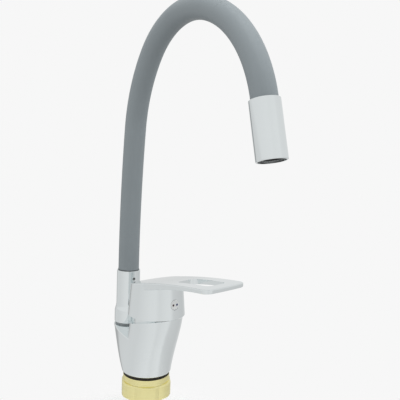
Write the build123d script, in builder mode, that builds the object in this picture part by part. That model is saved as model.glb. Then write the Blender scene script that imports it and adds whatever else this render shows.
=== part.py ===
from build123d import *
import os
from math import cos, radians, sin, sqrt

os.makedirs("parts", exist_ok=True)

# Kitchen mixer tap with a single lever and a flexible spout. Millimetres, +Z up.
# The origin is on the axis of the foot, where the body meets its gasket.
# The front, where the spout and the lever point, is -Y.

# Foot and fixings under the body
foot_d = 50.0
foot_round = 1.5
foot_front_angle = 10.0
foot_rear_angle = 60.0
gasket_d = 47.0
gasket_h = 3.0
collar_d = 47.6
collar_h = 6.5
nut_h = 15.5
nut_lobes = 6
nut_lobe_r = 17.0
nut_lobe_offset = 9.3
nut_turn = 2.1
nut_round = 2.0
shank_d = 33.0
shank_core_d = 32.4
shank_bore_d = 28.0
shank_drop = 55.0
shank_seat = 10.0
shank_chamfer = 1.2
ring_play = 0.4
thread_play = 0.05

# Body: hub in front for the cartridge, low ledge behind for the spout
hub_offset = 17.0
spout_offset = 43.0
waist_z = 20.0
waist_front_r = 25.4
waist_front_offset = 5.0
waist_rear_r = 19.8
waist_rear_offset = 22.6
waist_side_r = 60.0
ledge_z = 39.0
ledge_rear_r = 14.8
ledge_side_r = 150.0
ledge_round = 1.0
hub_low_r = 25.8
hub_low_offset = 11.2
hub_foot_offset = 10.6
hub_mid_z = 50.0
hub_mid_r = 26.1
hub_mid_offset = 14.7
hub_high_z = 60.0
hub_r = 26.3
shoulder_mid_z = 57.4
shoulder_slope = 0.235
neck_r = 22.0
neck_top_z = 75.0

# Water ways in the body
inlet_r = 4.45
inlet_depth = 10.0
inlet_x = 8.2
inlet_y = -4.0
inlet_way_r = 3.2
inlet_way_end_gap = 2.0
port_r = 3.0
port_x = 8.5
port_forward = 4.5
outlet_port_back = 8.5
outlet_way_r = 3.8
outlet_way_z = 31.0

# Cartridge
cartridge_r = 17.5
cartridge_play = 0.1
chamber_floor_z = 38.0
base_gap = 0.3
base_top_z = 42.0
seal_r = 4.5
seal_h = 1.6
seal_play = 0.05
housing_top_z = 61.5
housing_roof = 4.2
housing_wall = 2.0
fixed_disc_r = 14.5
disc_h = 3.0
disc_gap = 0.05
moving_disc_r = 10.5
carrier_r = 11.5
carrier_half_w = 9.6
carrier_h = 5.5
carrier_socket_w = 4.9
carrier_socket_depth = 3.5
rotor_gap = 0.3
rotor_flange_h = 3.2
rotor_r = 11.9
rotor_play = 0.1
rotor_top_z = 68.5
tongue_reach = 14.0
tongue_half_w = 4.0
tongue_h = 4.8
pivot_z = 62.0
pin_r = 1.5
pin_length = 22.8
pin_play = 0.02
spindle_pin_play = 0.05
spindle_w = 8.0
spindle_neck_r = 1.7
spindle_ball_r = 2.2
ball_arm = 9.5
spindle_top_z = 93.0
slot_side_play = 0.2
slot_play = 0.5
slot_swing_up = 2.7
slot_swing_down = 4.5
ring_nut_r = 18.95
ring_nut_bore_r = 14.0
ring_nut_h = 9.0
ring_nut_notches = 4
notch_w = 4.0
notch_depth = 2.5

# Lever
lever_turn = 9.0
hood_bottom_r = 28.5
hood_bottom_z = 64.5
hood_high_r = 26.0
hood_high_z = 96.0
hood_wall = 2.4
hood_roof = 4.5
boss_r = 9.0
boss_bottom_z = 74.0
socket_play = 0.05
top_back = (28.0, 92.1)
top_middle = (-34.0, 105.0)
top_end = (-96.5, 111.6)
under_root = (-18.0, 95.2)
under_middle = (-57.0, 103.5)
under_end = (-96.5, 107.5)
paddle_root_w = 48.6
paddle_end_w = 51.6
paddle_bow = 1.2
paddle_corner_r = 8.0
top_round = 1.0
window_back = 41.0
window_front = 84.0
window_rail = 14.0
window_corner_r = 6.0
plug_z = 79.0
plug_r = 5.0
plug_h = 2.0
plug_proud = 0.4
plug_play = 0.1
edge_chamfer = 0.4
mark_r = 1.1
mark_spread = 2.3
mark_h = 0.3
mark_proud = 0.1
grub_r = 2.0
grub_play = 0.05
grub_length = 5.0
hex_af = 2.0
hex_depth = 2.0

# Spout column, which turns on the body's spigot
column_r = 12.4
column_top_z = 97.0
column_gap = 0.05
flare_r = 14.0
flare_top_z = 61.0
flare_bottom_z = 51.5
bearing_ring_r = 13.2
bearing_ring_h = 1.5
spigot_r = 9.0
spigot_play = 0.06
spigot_top_z = 62.0
spigot_bore_r = 3.5
o_ring_z = (44.5, 51.0)
o_ring_wire_r = 0.95
o_ring_groove_w = 2.4
o_ring_groove_depth = 1.95
o_ring_play = 0.02
clip_z = 57.0
clip_h = 1.4
clip_groove_depth = 0.9
clip_reach = 0.6
clip_play = 0.1
clip_gap = 8.0
web_z = 63.0
web_top_z = 72.0
web_bore_r = 4.5
ferrule_wall = 1.0
screw_z = 89.0
screw_r = 1.5
screw_sunk = 0.5
screw_hex_af = 1.3
screw_hex_depth = 1.2

# Gooseneck: radius and turn of each arc of its centre line, from the column to the outlet
arc_radii = (1400.0, 146.0, 88.0, 112.0)
arc_turns = (6.2, 31.5, 66.0, 62.0)
sleeve_d = 22.0
sleeve_bore_d = 17.2
tube_d = 16.6
tube_bore_d = 12.6
hose_d = 11.6
hose_bore_d = 7.6
sleeve_ring_r = 11.3
sleeve_ring_h = 1.0
flex_start = 41.0
flex_length = 30.0
fit_play = 0.05

# Outlet head and aerator, measured along the head from its upper rim
head_r = 12.75
head_length = 48.0
head_round = 0.5
sleeve_entry = 6.0
head_bore_r = 11.3
tube_entry = 12.0
hose_entry = 18.0
duct_bore_r = 8.0
duct_step = 4.0
washer_h = 2.0
washer_bore_r = 6.0
aerator_recess = 1.8
aerator_length = 10.2
aerator_wall = 1.3
aerator_lip = 1.0
aerator_lip_w = 0.8
mesh_h = 0.8
insert_h = 6.4
insert_hole_r = 0.8
insert_ring_holes = (6, 12)
insert_ring_r = (3.2, 6.6)

# Levels and sizes that follow from the ones above
foot_r = foot_d / 2
shank_r = shank_d / 2
core_r = shank_core_d / 2
shank_bore_r = shank_bore_d / 2
sleeve_r = sleeve_d / 2
tube_r = tube_d / 2
hose_r = hose_d / 2
nut_top_z = -gasket_h - collar_h
nut_bottom_z = nut_top_z - nut_h
chamber_r = cartridge_r + cartridge_play
roof_z = housing_top_z - housing_roof
housing_bore_r = cartridge_r - housing_wall
moving_z = base_top_z + disc_h + disc_gap
carrier_z = moving_z + disc_h
carrier_top_z = carrier_z + carrier_h
rotor_z = carrier_top_z + rotor_gap
rotor_shoulder_z = rotor_z + rotor_flange_h
ball_z = pivot_z - ball_arm
half_spindle = spindle_w / 2
column_z = ledge_z + bearing_ring_h + column_gap
column_bore_r = spigot_r + spigot_play
ferrule_r = tube_r + fit_play + ferrule_wall
counterbore_r = ferrule_r + fit_play
screw_outer = column_r - screw_sunk
ON_BASE = (Align.CENTER, Align.CENTER, Align.MIN)


def save(part, name):
    part.label = name
    export_step(part, "parts/" + name + ".step")


def on_hub_axis(part):
    return part.moved(Location((0, -hub_offset, 0)))


def on_lever_axis(part):
    """Drawn about the Z axis and pointing to -Y, then set on the hub, turned as the lever is."""
    return part.moved(Location((0, -hub_offset, 0), (0, 0, lever_turn)))


def disc(radius, bottom, height, y=0.0, mode=Mode.ADD):
    with Locations((0, y, bottom)):
        Cylinder(radius, height, align=ON_BASE, mode=mode)


def ring(outer_r, inner_r, bottom, height, y=0.0):
    with BuildPart() as piece:
        disc(outer_r, bottom, height, y)
        disc(inner_r, bottom, height, y, Mode.SUBTRACT)
    return piece.part


def mirrored_outline(front, heading, rear, front_y, rear_y):
    """Closed outline of six arcs, the same on both sides of the plane x = 0, each under half a circle."""
    with BuildLine() as outline:
        TangentArc((0, front_y), front, tangent=(1, 0))
        TangentArc(front, rear, tangent=heading)
        TangentArc((0, rear_y), rear, tangent=(1, 0))
        TangentArc((0, rear_y), (-rear[0], rear[1]), tangent=(-1, 0))
        TangentArc((-front[0], front[1]), (-rear[0], rear[1]), tangent=(-heading[0], heading[1]))
        TangentArc((0, front_y), (-front[0], front[1]), tangent=(-1, 0))
    return outline.line


def egg(front_r, front_y, rear_r, rear_y, side_r):
    """Front and rear circles with a tangent arc of a larger radius on each side."""
    spread = rear_y - front_y
    reach_front = side_r - front_r
    reach_rear = side_r - rear_r
    along = (reach_front**2 - reach_rear**2 + spread**2) / (2 * spread)
    across = sqrt(reach_front**2 - along**2)
    heading = (along / reach_front, across / reach_front)
    front = (front_r * across / reach_front, front_y - front_r * along / reach_front)
    rear = (rear_r * across / reach_rear, rear_y + rear_r * (spread - along) / reach_rear)
    return mirrored_outline(front, heading, rear, front_y - front_r, rear_y + rear_r)


def foot_circle():
    """The foot as arcs, parted near the places where the outline above it is."""
    front = (foot_r * cos(radians(foot_front_angle)), -foot_r * sin(radians(foot_front_angle)))
    rear = (foot_r * cos(radians(foot_rear_angle)), foot_r * sin(radians(foot_rear_angle)))
    heading = (sin(radians(foot_front_angle)), cos(radians(foot_front_angle)))
    return mirrored_outline(front, heading, rear, -foot_r, foot_r)


# Body casting
ports = ((-port_x, -port_forward), (port_x, -port_forward), (0, outlet_port_back))
with BuildPart() as body:
    with BuildSketch(Plane.XY):
        make_face(foot_circle().edges())
    with BuildSketch(Plane.XY.offset(waist_z)):
        make_face(egg(waist_front_r, -waist_front_offset, waist_rear_r, waist_rear_offset, waist_side_r).edges())
    with BuildSketch(Plane.XY.offset(ledge_z)):
        make_face(egg(hub_low_r, -hub_low_offset, ledge_rear_r, spout_offset, ledge_side_r).edges())
    loft()
    fillet(body.edges().group_by(Axis.Z)[0], foot_round)
    fillet(body.edges().group_by(Axis.Z)[-1], ledge_round)
    # the hub grows out of the front of the ledge and leans forward to its axis
    with BuildSketch(Plane.XY.offset(ledge_z - 2 * ledge_round)):
        with Locations((0, -hub_foot_offset)):
            Circle(hub_low_r)
    with BuildSketch(Plane.XY.offset(hub_mid_z)):
        with Locations((0, -hub_mid_offset)):
            Circle(hub_mid_r)
    with BuildSketch(Plane.XY.offset(hub_high_z)):
        with Locations((0, -hub_offset)):
            Circle(hub_r)
    with BuildSketch(Plane.XY.offset(neck_top_z)):
        with Locations((0, -hub_offset)):
            Circle(hub_r)
    loft()
    # the shoulder falls towards the back, so that the hood can dip there when the lever lifts
    with BuildSketch(Plane.YZ):
        with BuildLine():
            Polyline(
                (-hub_offset - 2 * hub_r, shoulder_mid_z + 2 * hub_r * shoulder_slope),
                (-hub_offset + 2 * hub_r, shoulder_mid_z - 2 * hub_r * shoulder_slope),
                (-hub_offset + 2 * hub_r, 2 * neck_top_z),
                (-hub_offset - 2 * hub_r, 2 * neck_top_z),
                close=True,
            )
        make_face()
    extrude(amount=2 * hub_r, both=True, mode=Mode.SUBTRACT)
    disc(neck_r, hub_mid_z - 2, neck_top_z - hub_mid_z + 2, -hub_offset)
    disc(spigot_r, ledge_z - 1, spigot_top_z - ledge_z + 1, spout_offset)
    # chamber of the cartridge and thread of its ring nut
    disc(chamber_r, chamber_floor_z, neck_top_z - chamber_floor_z, -hub_offset, Mode.SUBTRACT)
    disc(ring_nut_r + thread_play, housing_top_z, neck_top_z - housing_top_z, -hub_offset, Mode.SUBTRACT)
    # seat of the shank, the two inlets and their ways up to the cartridge
    disc(core_r + thread_play, 0, shank_seat, 0, Mode.SUBTRACT)
    for side in (-1, 1):
        inlet_top = Vector(side * inlet_x, inlet_y, shank_seat + inlet_depth)
        port = Vector(side * port_x, -hub_offset - port_forward, chamber_floor_z)
        with Locations((side * inlet_x, inlet_y, shank_seat)):
            Cylinder(inlet_r, inlet_depth, align=ON_BASE, mode=Mode.SUBTRACT)
        with Locations(Plane(inlet_top, z_dir=port - inlet_top)):
            Cylinder(inlet_way_r, 2 * ((port - inlet_top).length - inlet_way_end_gap), mode=Mode.SUBTRACT)
    # mixed water goes down from the chamber, back under the ledge and up through the spigot
    outlet_y = outlet_port_back - hub_offset
    disc(port_r, outlet_way_z, chamber_floor_z - outlet_way_z, outlet_y, Mode.SUBTRACT)
    way_start_y = outlet_y - outlet_way_r
    with Locations(Location((0, way_start_y, outlet_way_z), (-90, 0, 0))):
        Cylinder(outlet_way_r, spout_offset - way_start_y, align=ON_BASE, mode=Mode.SUBTRACT)
    way_floor_z = outlet_way_z - outlet_way_r / 2
    disc(spigot_bore_r, way_floor_z, spigot_top_z - way_floor_z, spout_offset, Mode.SUBTRACT)
    # grooves of the two O-rings and of the clip that keeps the column on
    for groove_z, groove_w, depth in (
        (o_ring_z[0], o_ring_groove_w, o_ring_groove_depth),
        (o_ring_z[1], o_ring_groove_w, o_ring_groove_depth),
        (clip_z, clip_h + 2 * clip_play, clip_groove_depth),
    ):
        add(ring(spigot_r + 1, spigot_r - depth, groove_z, groove_w, spout_offset), mode=Mode.SUBTRACT)
save(body.part, "body_casting")

# Fixings under the body
save(ring(gasket_d / 2, shank_r + ring_play, -gasket_h, gasket_h), "base_gasket")
save(ring(collar_d / 2, shank_r + ring_play, nut_top_z, collar_h), "clamp_collar")

# The thread is drawn at its outer size where it shows and at its core size where it is screwed in
with BuildPart() as shank:
    disc(core_r, -shank_drop, shank_drop + shank_seat)
    disc(shank_r, -shank_drop, shank_drop + nut_bottom_z)
    chamfer(shank.edges().filter_by(GeomType.CIRCLE).group_by(Axis.Z)[0], shank_chamfer)
    disc(shank_bore_r, -shank_drop, shank_drop + shank_seat, 0, Mode.SUBTRACT)
save(shank.part, "mounting_shank")

half_lobe = radians(180 / nut_lobes)
valley_r = nut_lobe_offset * cos(half_lobe) + sqrt(nut_lobe_r**2 - (nut_lobe_offset * sin(half_lobe)) ** 2)
crest_r = nut_lobe_offset + nut_lobe_r
with BuildPart() as nut:
    with BuildSketch(Plane.XY.offset(nut_bottom_z)):
        with BuildLine():
            for index in range(nut_lobes):
                middle = radians(nut_turn) + 2 * half_lobe * index
                ThreePointArc(
                    (valley_r * cos(middle - half_lobe), valley_r * sin(middle - half_lobe)),
                    (crest_r * cos(middle), crest_r * sin(middle)),
                    (valley_r * cos(middle + half_lobe), valley_r * sin(middle + half_lobe)),
                )
        make_face()
    extrude(amount=nut_h)
    fillet(nut.edges().group_by(Axis.Z)[0] + nut.edges().group_by(Axis.Z)[-1], nut_round)
    disc(core_r + thread_play, nut_bottom_z, nut_h, 0, Mode.SUBTRACT)
save(nut.part, "mounting_nut")

# Cartridge: seals, base, housing with its ring nut and the fixed disc stand still
with BuildPart() as seals:
    with BuildSketch(Plane.XY.offset(chamber_floor_z)):
        with Locations(*ports):
            Circle(seal_r)
        with Locations(*ports):
            Circle(port_r, mode=Mode.SUBTRACT)
    extrude(amount=seal_h)
save(on_hub_axis(seals.part), "cartridge_seals")

with BuildPart() as cartridge_base:
    base_z = chamber_floor_z + base_gap
    disc(cartridge_r, base_z, base_top_z - base_z)
    with BuildSketch(Plane.XY.offset(base_z)):
        with Locations(*ports):
            Circle(seal_r + seal_play)
    extrude(amount=seal_h - base_gap, mode=Mode.SUBTRACT)
    with BuildSketch(Plane.XY.offset(base_z)):
        with Locations(*ports):
            Circle(port_r)
    extrude(amount=base_top_z - base_z, mode=Mode.SUBTRACT)
save(on_hub_axis(cartridge_base.part), "cartridge_base")

with BuildPart() as fixed_disc:
    disc(fixed_disc_r, base_top_z, disc_h)
    with BuildSketch(Plane.XY.offset(base_top_z)):
        with Locations(*ports):
            Circle(port_r)
    extrude(amount=disc_h, mode=Mode.SUBTRACT)
save(on_hub_axis(fixed_disc.part), "fixed_disc")

with BuildPart() as housing:
    disc(cartridge_r, base_top_z, housing_top_z - base_top_z)
    disc(housing_bore_r, base_top_z, roof_z - base_top_z, 0, Mode.SUBTRACT)
    disc(rotor_r + rotor_play, roof_z, housing_roof, 0, Mode.SUBTRACT)
save(on_hub_axis(housing.part), "cartridge_housing")

with BuildPart() as ring_nut:
    disc(ring_nut_r, housing_top_z, ring_nut_h)
    disc(ring_nut_bore_r, housing_top_z, ring_nut_h, 0, Mode.SUBTRACT)
    with BuildSketch(Plane.XY.offset(housing_top_z + ring_nut_h)):
        with PolarLocations(ring_nut_bore_r, ring_nut_notches, 45):
            Rectangle(2 * notch_depth, notch_w)
    extrude(amount=-notch_depth, mode=Mode.SUBTRACT)
save(on_hub_axis(ring_nut.part), "cartridge_nut")

# Disc and carrier slide on the fixed disc and turn with the rotor
with BuildPart() as moving_disc:
    disc(moving_disc_r, moving_z, disc_h)
    disc(port_r + 1, moving_z, disc_h / 2, port_r, Mode.SUBTRACT)
save(on_lever_axis(moving_disc.part), "moving_disc")

with BuildPart() as carrier:
    with BuildSketch(Plane.XY.offset(carrier_z)):
        Circle(carrier_r)
        Rectangle(2 * carrier_half_w, 2 * carrier_r, mode=Mode.INTERSECT)
    extrude(amount=carrier_h)
    with BuildSketch(Plane.XY.offset(carrier_top_z)):
        Rectangle(carrier_socket_w, carrier_socket_w)
    extrude(amount=-carrier_socket_depth, mode=Mode.SUBTRACT)
save(on_lever_axis(carrier.part), "disc_carrier")

# The rotor's slot leaves room above the pin at the back and below it in front, where the spindle tips
with BuildPart() as rotor:
    disc(housing_bore_r - rotor_gap, rotor_z, rotor_flange_h)
    disc(rotor_r, rotor_shoulder_z, rotor_top_z - rotor_shoulder_z)
    tongue_inner = carrier_half_w + rotor_gap
    with BuildSketch(Plane.XY.offset(rotor_z)):
        with Locations((-(tongue_inner + tongue_reach) / 2, 0), ((tongue_inner + tongue_reach) / 2, 0)):
            Rectangle(tongue_reach - tongue_inner, 2 * tongue_half_w)
    extrude(amount=-tongue_h)
    slot_w = spindle_w + 2 * slot_side_play
    slot_end = half_spindle + slot_play
    with BuildSketch(Plane.XY.offset(pivot_z)):
        with Locations((0, slot_swing_up / 2)):
            Rectangle(slot_w, 2 * slot_end + slot_swing_up)
    extrude(amount=rotor_top_z - pivot_z, mode=Mode.SUBTRACT)
    with BuildSketch(Plane.XY.offset(pivot_z)):
        with Locations((0, -slot_swing_down / 2)):
            Rectangle(slot_w, 2 * slot_end + slot_swing_down)
    extrude(amount=rotor_z - pivot_z, mode=Mode.SUBTRACT)
    with Locations(Location((0, 0, pivot_z), (0, 90, 0))):
        Cylinder(pin_r + pin_play, pin_length, mode=Mode.SUBTRACT)
save(on_lever_axis(rotor.part), "cartridge_rotor")

with BuildPart() as pin:
    with Locations(Location((0, 0, pivot_z), (0, 90, 0))):
        Cylinder(pin_r, pin_length)
save(on_lever_axis(pin.part), "spindle_pin")

with BuildPart() as spindle:
    with BuildSketch(Plane.XY.offset(pivot_z - half_spindle)):
        Rectangle(spindle_w, spindle_w)
    extrude(amount=spindle_top_z - pivot_z + half_spindle)
    disc(spindle_neck_r, ball_z, pivot_z - ball_z)
    with Locations((0, 0, ball_z)):
        Sphere(spindle_ball_r)
    with Locations(Location((0, 0, pivot_z), (0, 90, 0))):
        Cylinder(pin_r + spindle_pin_play, 2 * spindle_w, mode=Mode.SUBTRACT)
save(on_lever_axis(spindle.part), "spindle")

# Lever handle: hood over the hub and a long paddle, under one top line seen from the side
hood_draft = (hood_bottom_r - hood_high_r) / (hood_high_z - hood_bottom_z)
hood_tip_z = top_end[1]
hood_tip_r = hood_bottom_r - hood_draft * (hood_tip_z - hood_bottom_z)


def top_line(drop):
    return ThreePointArc(
        (top_back[0], top_back[1] - drop), (top_middle[0], top_middle[1] - drop), (top_end[0], top_end[1] - drop)
    )


def under_top(drop):
    """Everything below the top line, seen from the side."""
    with BuildSketch(Plane.YZ) as region:
        with BuildLine():
            upper = top_line(drop)
            Polyline(upper @ 1, (top_end[0], 0), (top_back[0] + 2, 0), (top_back[0] + 2, top_back[1] - drop), upper @ 0)
        make_face()
    return region.sketch


def top_face(piece):
    """The face on the top line, which is the highest of the faces bent about one line."""
    return piece.faces().filter_by(GeomType.CYLINDER).sort_by(Axis.Z)[-1]


with BuildPart() as hood:
    with Locations((0, 0, hood_bottom_z)):
        Cone(hood_bottom_r, hood_tip_r, hood_tip_z - hood_bottom_z, align=ON_BASE)
    extrude(under_top(0), amount=2 * hood_bottom_r, both=True, mode=Mode.INTERSECT)
    fillet(top_face(hood).edges(), top_round)

with BuildPart() as hollow:
    with Locations((0, 0, hood_bottom_z)):
        Cone(hood_bottom_r - hood_wall, hood_tip_r - hood_wall, hood_tip_z - hood_bottom_z, align=ON_BASE)
    extrude(under_top(hood_roof), amount=2 * hood_bottom_r, both=True, mode=Mode.INTERSECT)
    disc(boss_r, boss_bottom_z, hood_tip_z - boss_bottom_z, 0, Mode.SUBTRACT)

paddle_end = -top_end[0]
window_w = paddle_end_w - 2 * window_rail
with BuildPart() as paddle:
    with BuildSketch(Plane.YZ):
        with BuildLine():
            upper = top_line(0)
            lower = ThreePointArc(under_root, under_middle, under_end)
            Line(upper @ 1, lower @ 1)
            Polyline(lower @ 0, (top_back[0], under_root[1] - 8), upper @ 0)
        make_face()
    extrude(amount=paddle_end_w, both=True)
    with BuildSketch(Plane.XY.offset(hood_bottom_z)) as plan:
        with BuildLine():
            side_end = (paddle_end_w / 2, -paddle_end + paddle_bow)
            Polyline((-side_end[0], side_end[1]), (-paddle_root_w / 2, 0), (paddle_root_w / 2, 0), side_end)
            ThreePointArc(side_end, (0, -paddle_end), (-side_end[0], side_end[1]))
        make_face()
        fillet(plan.vertices().group_by(Axis.Y)[0], paddle_corner_r)
    extrude(amount=2 * hood_tip_z, mode=Mode.INTERSECT)
    with BuildSketch(Plane.XY.offset(hood_bottom_z)):
        with Locations((0, -(window_back + window_front) / 2)):
            RectangleRounded(window_w, window_front - window_back, window_corner_r)
    extrude(amount=2 * hood_tip_z, mode=Mode.SUBTRACT)
    fillet(top_face(paddle).edges(), top_round)

with BuildPart() as handle:
    add(hood.part)
    add(paddle.part)
    add(hollow.part, mode=Mode.SUBTRACT)
    # square socket for the spindle, and the way of the screw that holds it
    with BuildSketch(Plane.XY.offset(boss_bottom_z)):
        Rectangle(spindle_w + 2 * socket_play, spindle_w + 2 * socket_play)
    extrude(amount=spindle_top_z + socket_play - boss_bottom_z, mode=Mode.SUBTRACT)
    hood_face = hood_bottom_r - hood_draft * (plug_z - hood_bottom_z)
    with Locations(Location((0, 0, plug_z), (90, 0, 0))):
        Cylinder(grub_r + grub_play, hood_bottom_r, align=ON_BASE, mode=Mode.SUBTRACT)
    plug_floor = hood_face - plug_h + plug_proud
    with Locations(Location((0, -plug_floor, plug_z), (90, 0, 0))):
        Cylinder(plug_r + plug_play, hood_wall, align=ON_BASE, mode=Mode.SUBTRACT)
save(on_lever_axis(handle.part), "lever_handle")

with BuildPart() as grub:
    with Locations(Location((0, -half_spindle, plug_z), (90, 0, 0))):
        Cylinder(grub_r, grub_length, align=ON_BASE)
    with BuildSketch(Plane.XZ.offset(half_spindle + grub_length)):
        with Locations((0, plug_z)):
            RegularPolygon(hex_af / 2, 6, major_radius=False)
    extrude(amount=-hex_depth, mode=Mode.SUBTRACT)
save(on_lever_axis(grub.part), "grub_screw")

plug_front = plug_floor + plug_h
with BuildPart() as plug:
    with Locations(Location((0, -plug_floor, plug_z), (90, 0, 0))):
        Cylinder(plug_r, plug_h, align=ON_BASE)
    chamfer(plug.edges().filter_by(GeomType.CIRCLE).sort_by(Axis.Y)[0], edge_chamfer)
    for side in (-1, 1):
        with Locations(Location((side * mark_spread, -plug_front + mark_h - mark_proud, plug_z), (90, 0, 0))):
            Cylinder(mark_r, mark_h, align=ON_BASE, mode=Mode.SUBTRACT)
save(on_lever_axis(plug.part), "index_plug")

for side, name in ((-1, "hot_mark"), (1, "cold_mark")):
    with BuildPart() as mark:
        with Locations(Location((side * mark_spread, -plug_front + mark_h - mark_proud, plug_z), (90, 0, 0))):
            Cylinder(mark_r, mark_h, align=ON_BASE)
    save(on_lever_axis(mark.part), name)

# Pieces between the body and the turning column
save(ring(bearing_ring_r, spigot_r + 2 * spigot_play, ledge_z, bearing_ring_h, spout_offset), "bearing_ring")

with BuildPart() as o_rings:
    with Locations(*[(0, spout_offset, low + o_ring_groove_w / 2) for low in o_ring_z]):
        Torus(spigot_r - o_ring_groove_depth + o_ring_wire_r + o_ring_play, o_ring_wire_r)
save(o_rings.part, "column_o_rings")

clip_inner_r = spigot_r - clip_groove_depth + fit_play
clip_outer_r = spigot_r + clip_reach
with BuildPart() as clip:
    disc(clip_outer_r, clip_z + clip_play, clip_h, spout_offset)
    disc(clip_inner_r, clip_z + clip_play, clip_h, spout_offset, Mode.SUBTRACT)
    with Locations((0, spout_offset + spigot_r, clip_z + clip_play)):
        Box(clip_gap, spigot_r, clip_h, align=ON_BASE, mode=Mode.SUBTRACT)
save(clip.part, "column_clip")

with BuildPart() as column:
    with BuildSketch(Plane.XZ):
        with BuildLine():
            middle = ((column_r + flare_r) / 2, (flare_top_z + flare_bottom_z) / 2)
            Line((column_r, flare_top_z), (column_r, column_top_z))
            Line((column_r, column_top_z), (0, column_top_z))
            Line((0, column_top_z), (0, column_z))
            Line((0, column_z), (flare_r, column_z))
            Line((flare_r, column_z), (flare_r, flare_bottom_z))
            TangentArc((flare_r, flare_bottom_z), middle, tangent=(0, 1))
            TangentArc((column_r, flare_top_z), middle, tangent=(0, -1))
        make_face()
    revolve(axis=Axis.Z)
    chamfer(column.edges().group_by(Axis.Z)[0] + column.edges().group_by(Axis.Z)[-1], edge_chamfer)
    disc(column_bore_r, column_z, web_z - column_z, 0, Mode.SUBTRACT)
    disc(clip_outer_r + clip_play + fit_play, clip_z - clip_play, clip_h + 4 * clip_play, 0, Mode.SUBTRACT)
    disc(web_bore_r, web_z, web_top_z - web_z, 0, Mode.SUBTRACT)
    disc(counterbore_r, web_top_z, column_top_z - web_top_z, 0, Mode.SUBTRACT)
    with Locations(Location((0, 0, screw_z), (90, 0, 0))):
        Cylinder(screw_r + fit_play, column_r, align=ON_BASE, mode=Mode.SUBTRACT)
save(column.part.moved(Location((0, spout_offset, 0))), "spout_column")

with BuildPart() as screw:
    with Locations(Location((0, -ferrule_r, screw_z), (90, 0, 0))):
        Cylinder(screw_r, screw_outer - ferrule_r, align=ON_BASE)
    with BuildSketch(Plane.XZ.offset(screw_outer)):
        with Locations((0, screw_z)):
            RegularPolygon(screw_hex_af / 2, 6, major_radius=False)
    extrude(amount=-screw_hex_depth, mode=Mode.SUBTRACT)
save(screw.part.moved(Location((0, spout_offset, 0))), "column_screw")

save(ring(ferrule_r, tube_r + fit_play, web_top_z, column_top_z - web_top_z, spout_offset), "lower_ferrule")
save(ring(sleeve_ring_r, tube_r + fit_play, column_top_z, sleeve_ring_h, spout_offset), "sleeve_ring")

# Centre line of the gooseneck, in the plane x = 0, as arcs that each start where the last one ends
route_arcs = []
start_y = spout_offset
start_z = column_top_z
heading = 0.0
for arc_r, turn in zip(arc_radii, arc_turns):
    centre_y = start_y - arc_r * cos(radians(heading))
    centre_z = start_z - arc_r * sin(radians(heading))
    route_arcs.append((centre_y, centre_z, arc_r, heading, turn))
    heading += turn
    start_y = centre_y + arc_r * cos(radians(heading))
    start_z = centre_z + arc_r * sin(radians(heading))
arc_lengths = [radians(turn) * arc_r for arc_r, turn in zip(arc_radii, arc_turns)]
route_length = sum(arc_lengths)
flex_from = sum(arc_lengths[:3]) + flex_start
flex_to = flex_from + flex_length
onward = (-sin(radians(heading)), cos(radians(heading)))
head_plane = Plane((0, start_y, start_z), x_dir=(1, 0, 0), z_dir=(0, onward[0], onward[1]))


def along_route(outer_r, inner_r, begin, end):
    """A tube on the centre line between two lengths from the column's top, straight beyond the ends."""
    with BuildPart() as piece:
        with BuildLine(Plane.YZ) as line:
            if begin < 0:
                Line((spout_offset, column_top_z + begin), (spout_offset, column_top_z))
            passed = 0
            for (centre_y, centre_z, arc_r, first, turn), length in zip(route_arcs, arc_lengths):
                low = max(begin, passed)
                high = min(end, passed + length)
                if high > low:
                    angle = first + turn * (low - passed) / length
                    CenterArc((centre_y, centre_z), arc_r, angle, turn * (high - low) / length)
                passed += length
            if end > route_length:
                beyond = end - route_length
                Line((start_y, start_z), (start_y + beyond * onward[0], start_z + beyond * onward[1]))
        with BuildSketch(line.line ^ 0):
            Circle(outer_r)
            Circle(inner_r, mode=Mode.SUBTRACT)
        sweep()
    return piece.part


tube_foot = web_top_z - column_top_z
save(along_route(tube_r, tube_bore_d / 2, tube_foot, flex_from), "gooseneck_riser")
save(along_route(tube_r, tube_bore_d / 2, flex_from, flex_to), "gooseneck_flex")
save(along_route(tube_r, tube_bore_d / 2, flex_to, route_length + tube_entry), "gooseneck_end")
save(along_route(sleeve_r, sleeve_bore_d / 2, sleeve_ring_h + fit_play, route_length + sleeve_entry), "silicone_sleeve")
save(along_route(hose_r, hose_bore_d / 2, tube_foot, route_length + hose_entry), "water_hose")


# Outlet head, drawn along Z from its upper rim and then set on the end of the route
def at_outlet(part):
    return part.moved(head_plane.location)


with BuildPart() as head:
    disc(head_r, 0, head_length)
    fillet(head.edges().filter_by(GeomType.CIRCLE), head_round)
    disc(sleeve_r + fit_play, 0, sleeve_entry, 0, Mode.SUBTRACT)
    disc(head_bore_r, sleeve_entry, head_length - sleeve_entry, 0, Mode.SUBTRACT)
save(at_outlet(head.part), "outlet_head")

inner_r = head_bore_r - fit_play
aerator_end = head_length - aerator_recess
aerator_z = aerator_end - aerator_length
duct_end = aerator_z - washer_h
with BuildPart() as duct:
    disc(inner_r, sleeve_entry + fit_play, duct_end - sleeve_entry - fit_play)
    disc(tube_r + fit_play, sleeve_entry, tube_entry + fit_play - sleeve_entry, 0, Mode.SUBTRACT)
    disc(hose_r + fit_play, tube_entry, hose_entry + fit_play - tube_entry, 0, Mode.SUBTRACT)
    disc(hose_bore_d / 2, hose_entry, duct_end - hose_entry, 0, Mode.SUBTRACT)
    disc(duct_bore_r, hose_entry + duct_step, duct_end - hose_entry - duct_step, 0, Mode.SUBTRACT)
save(at_outlet(duct.part), "upper_ferrule")

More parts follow.
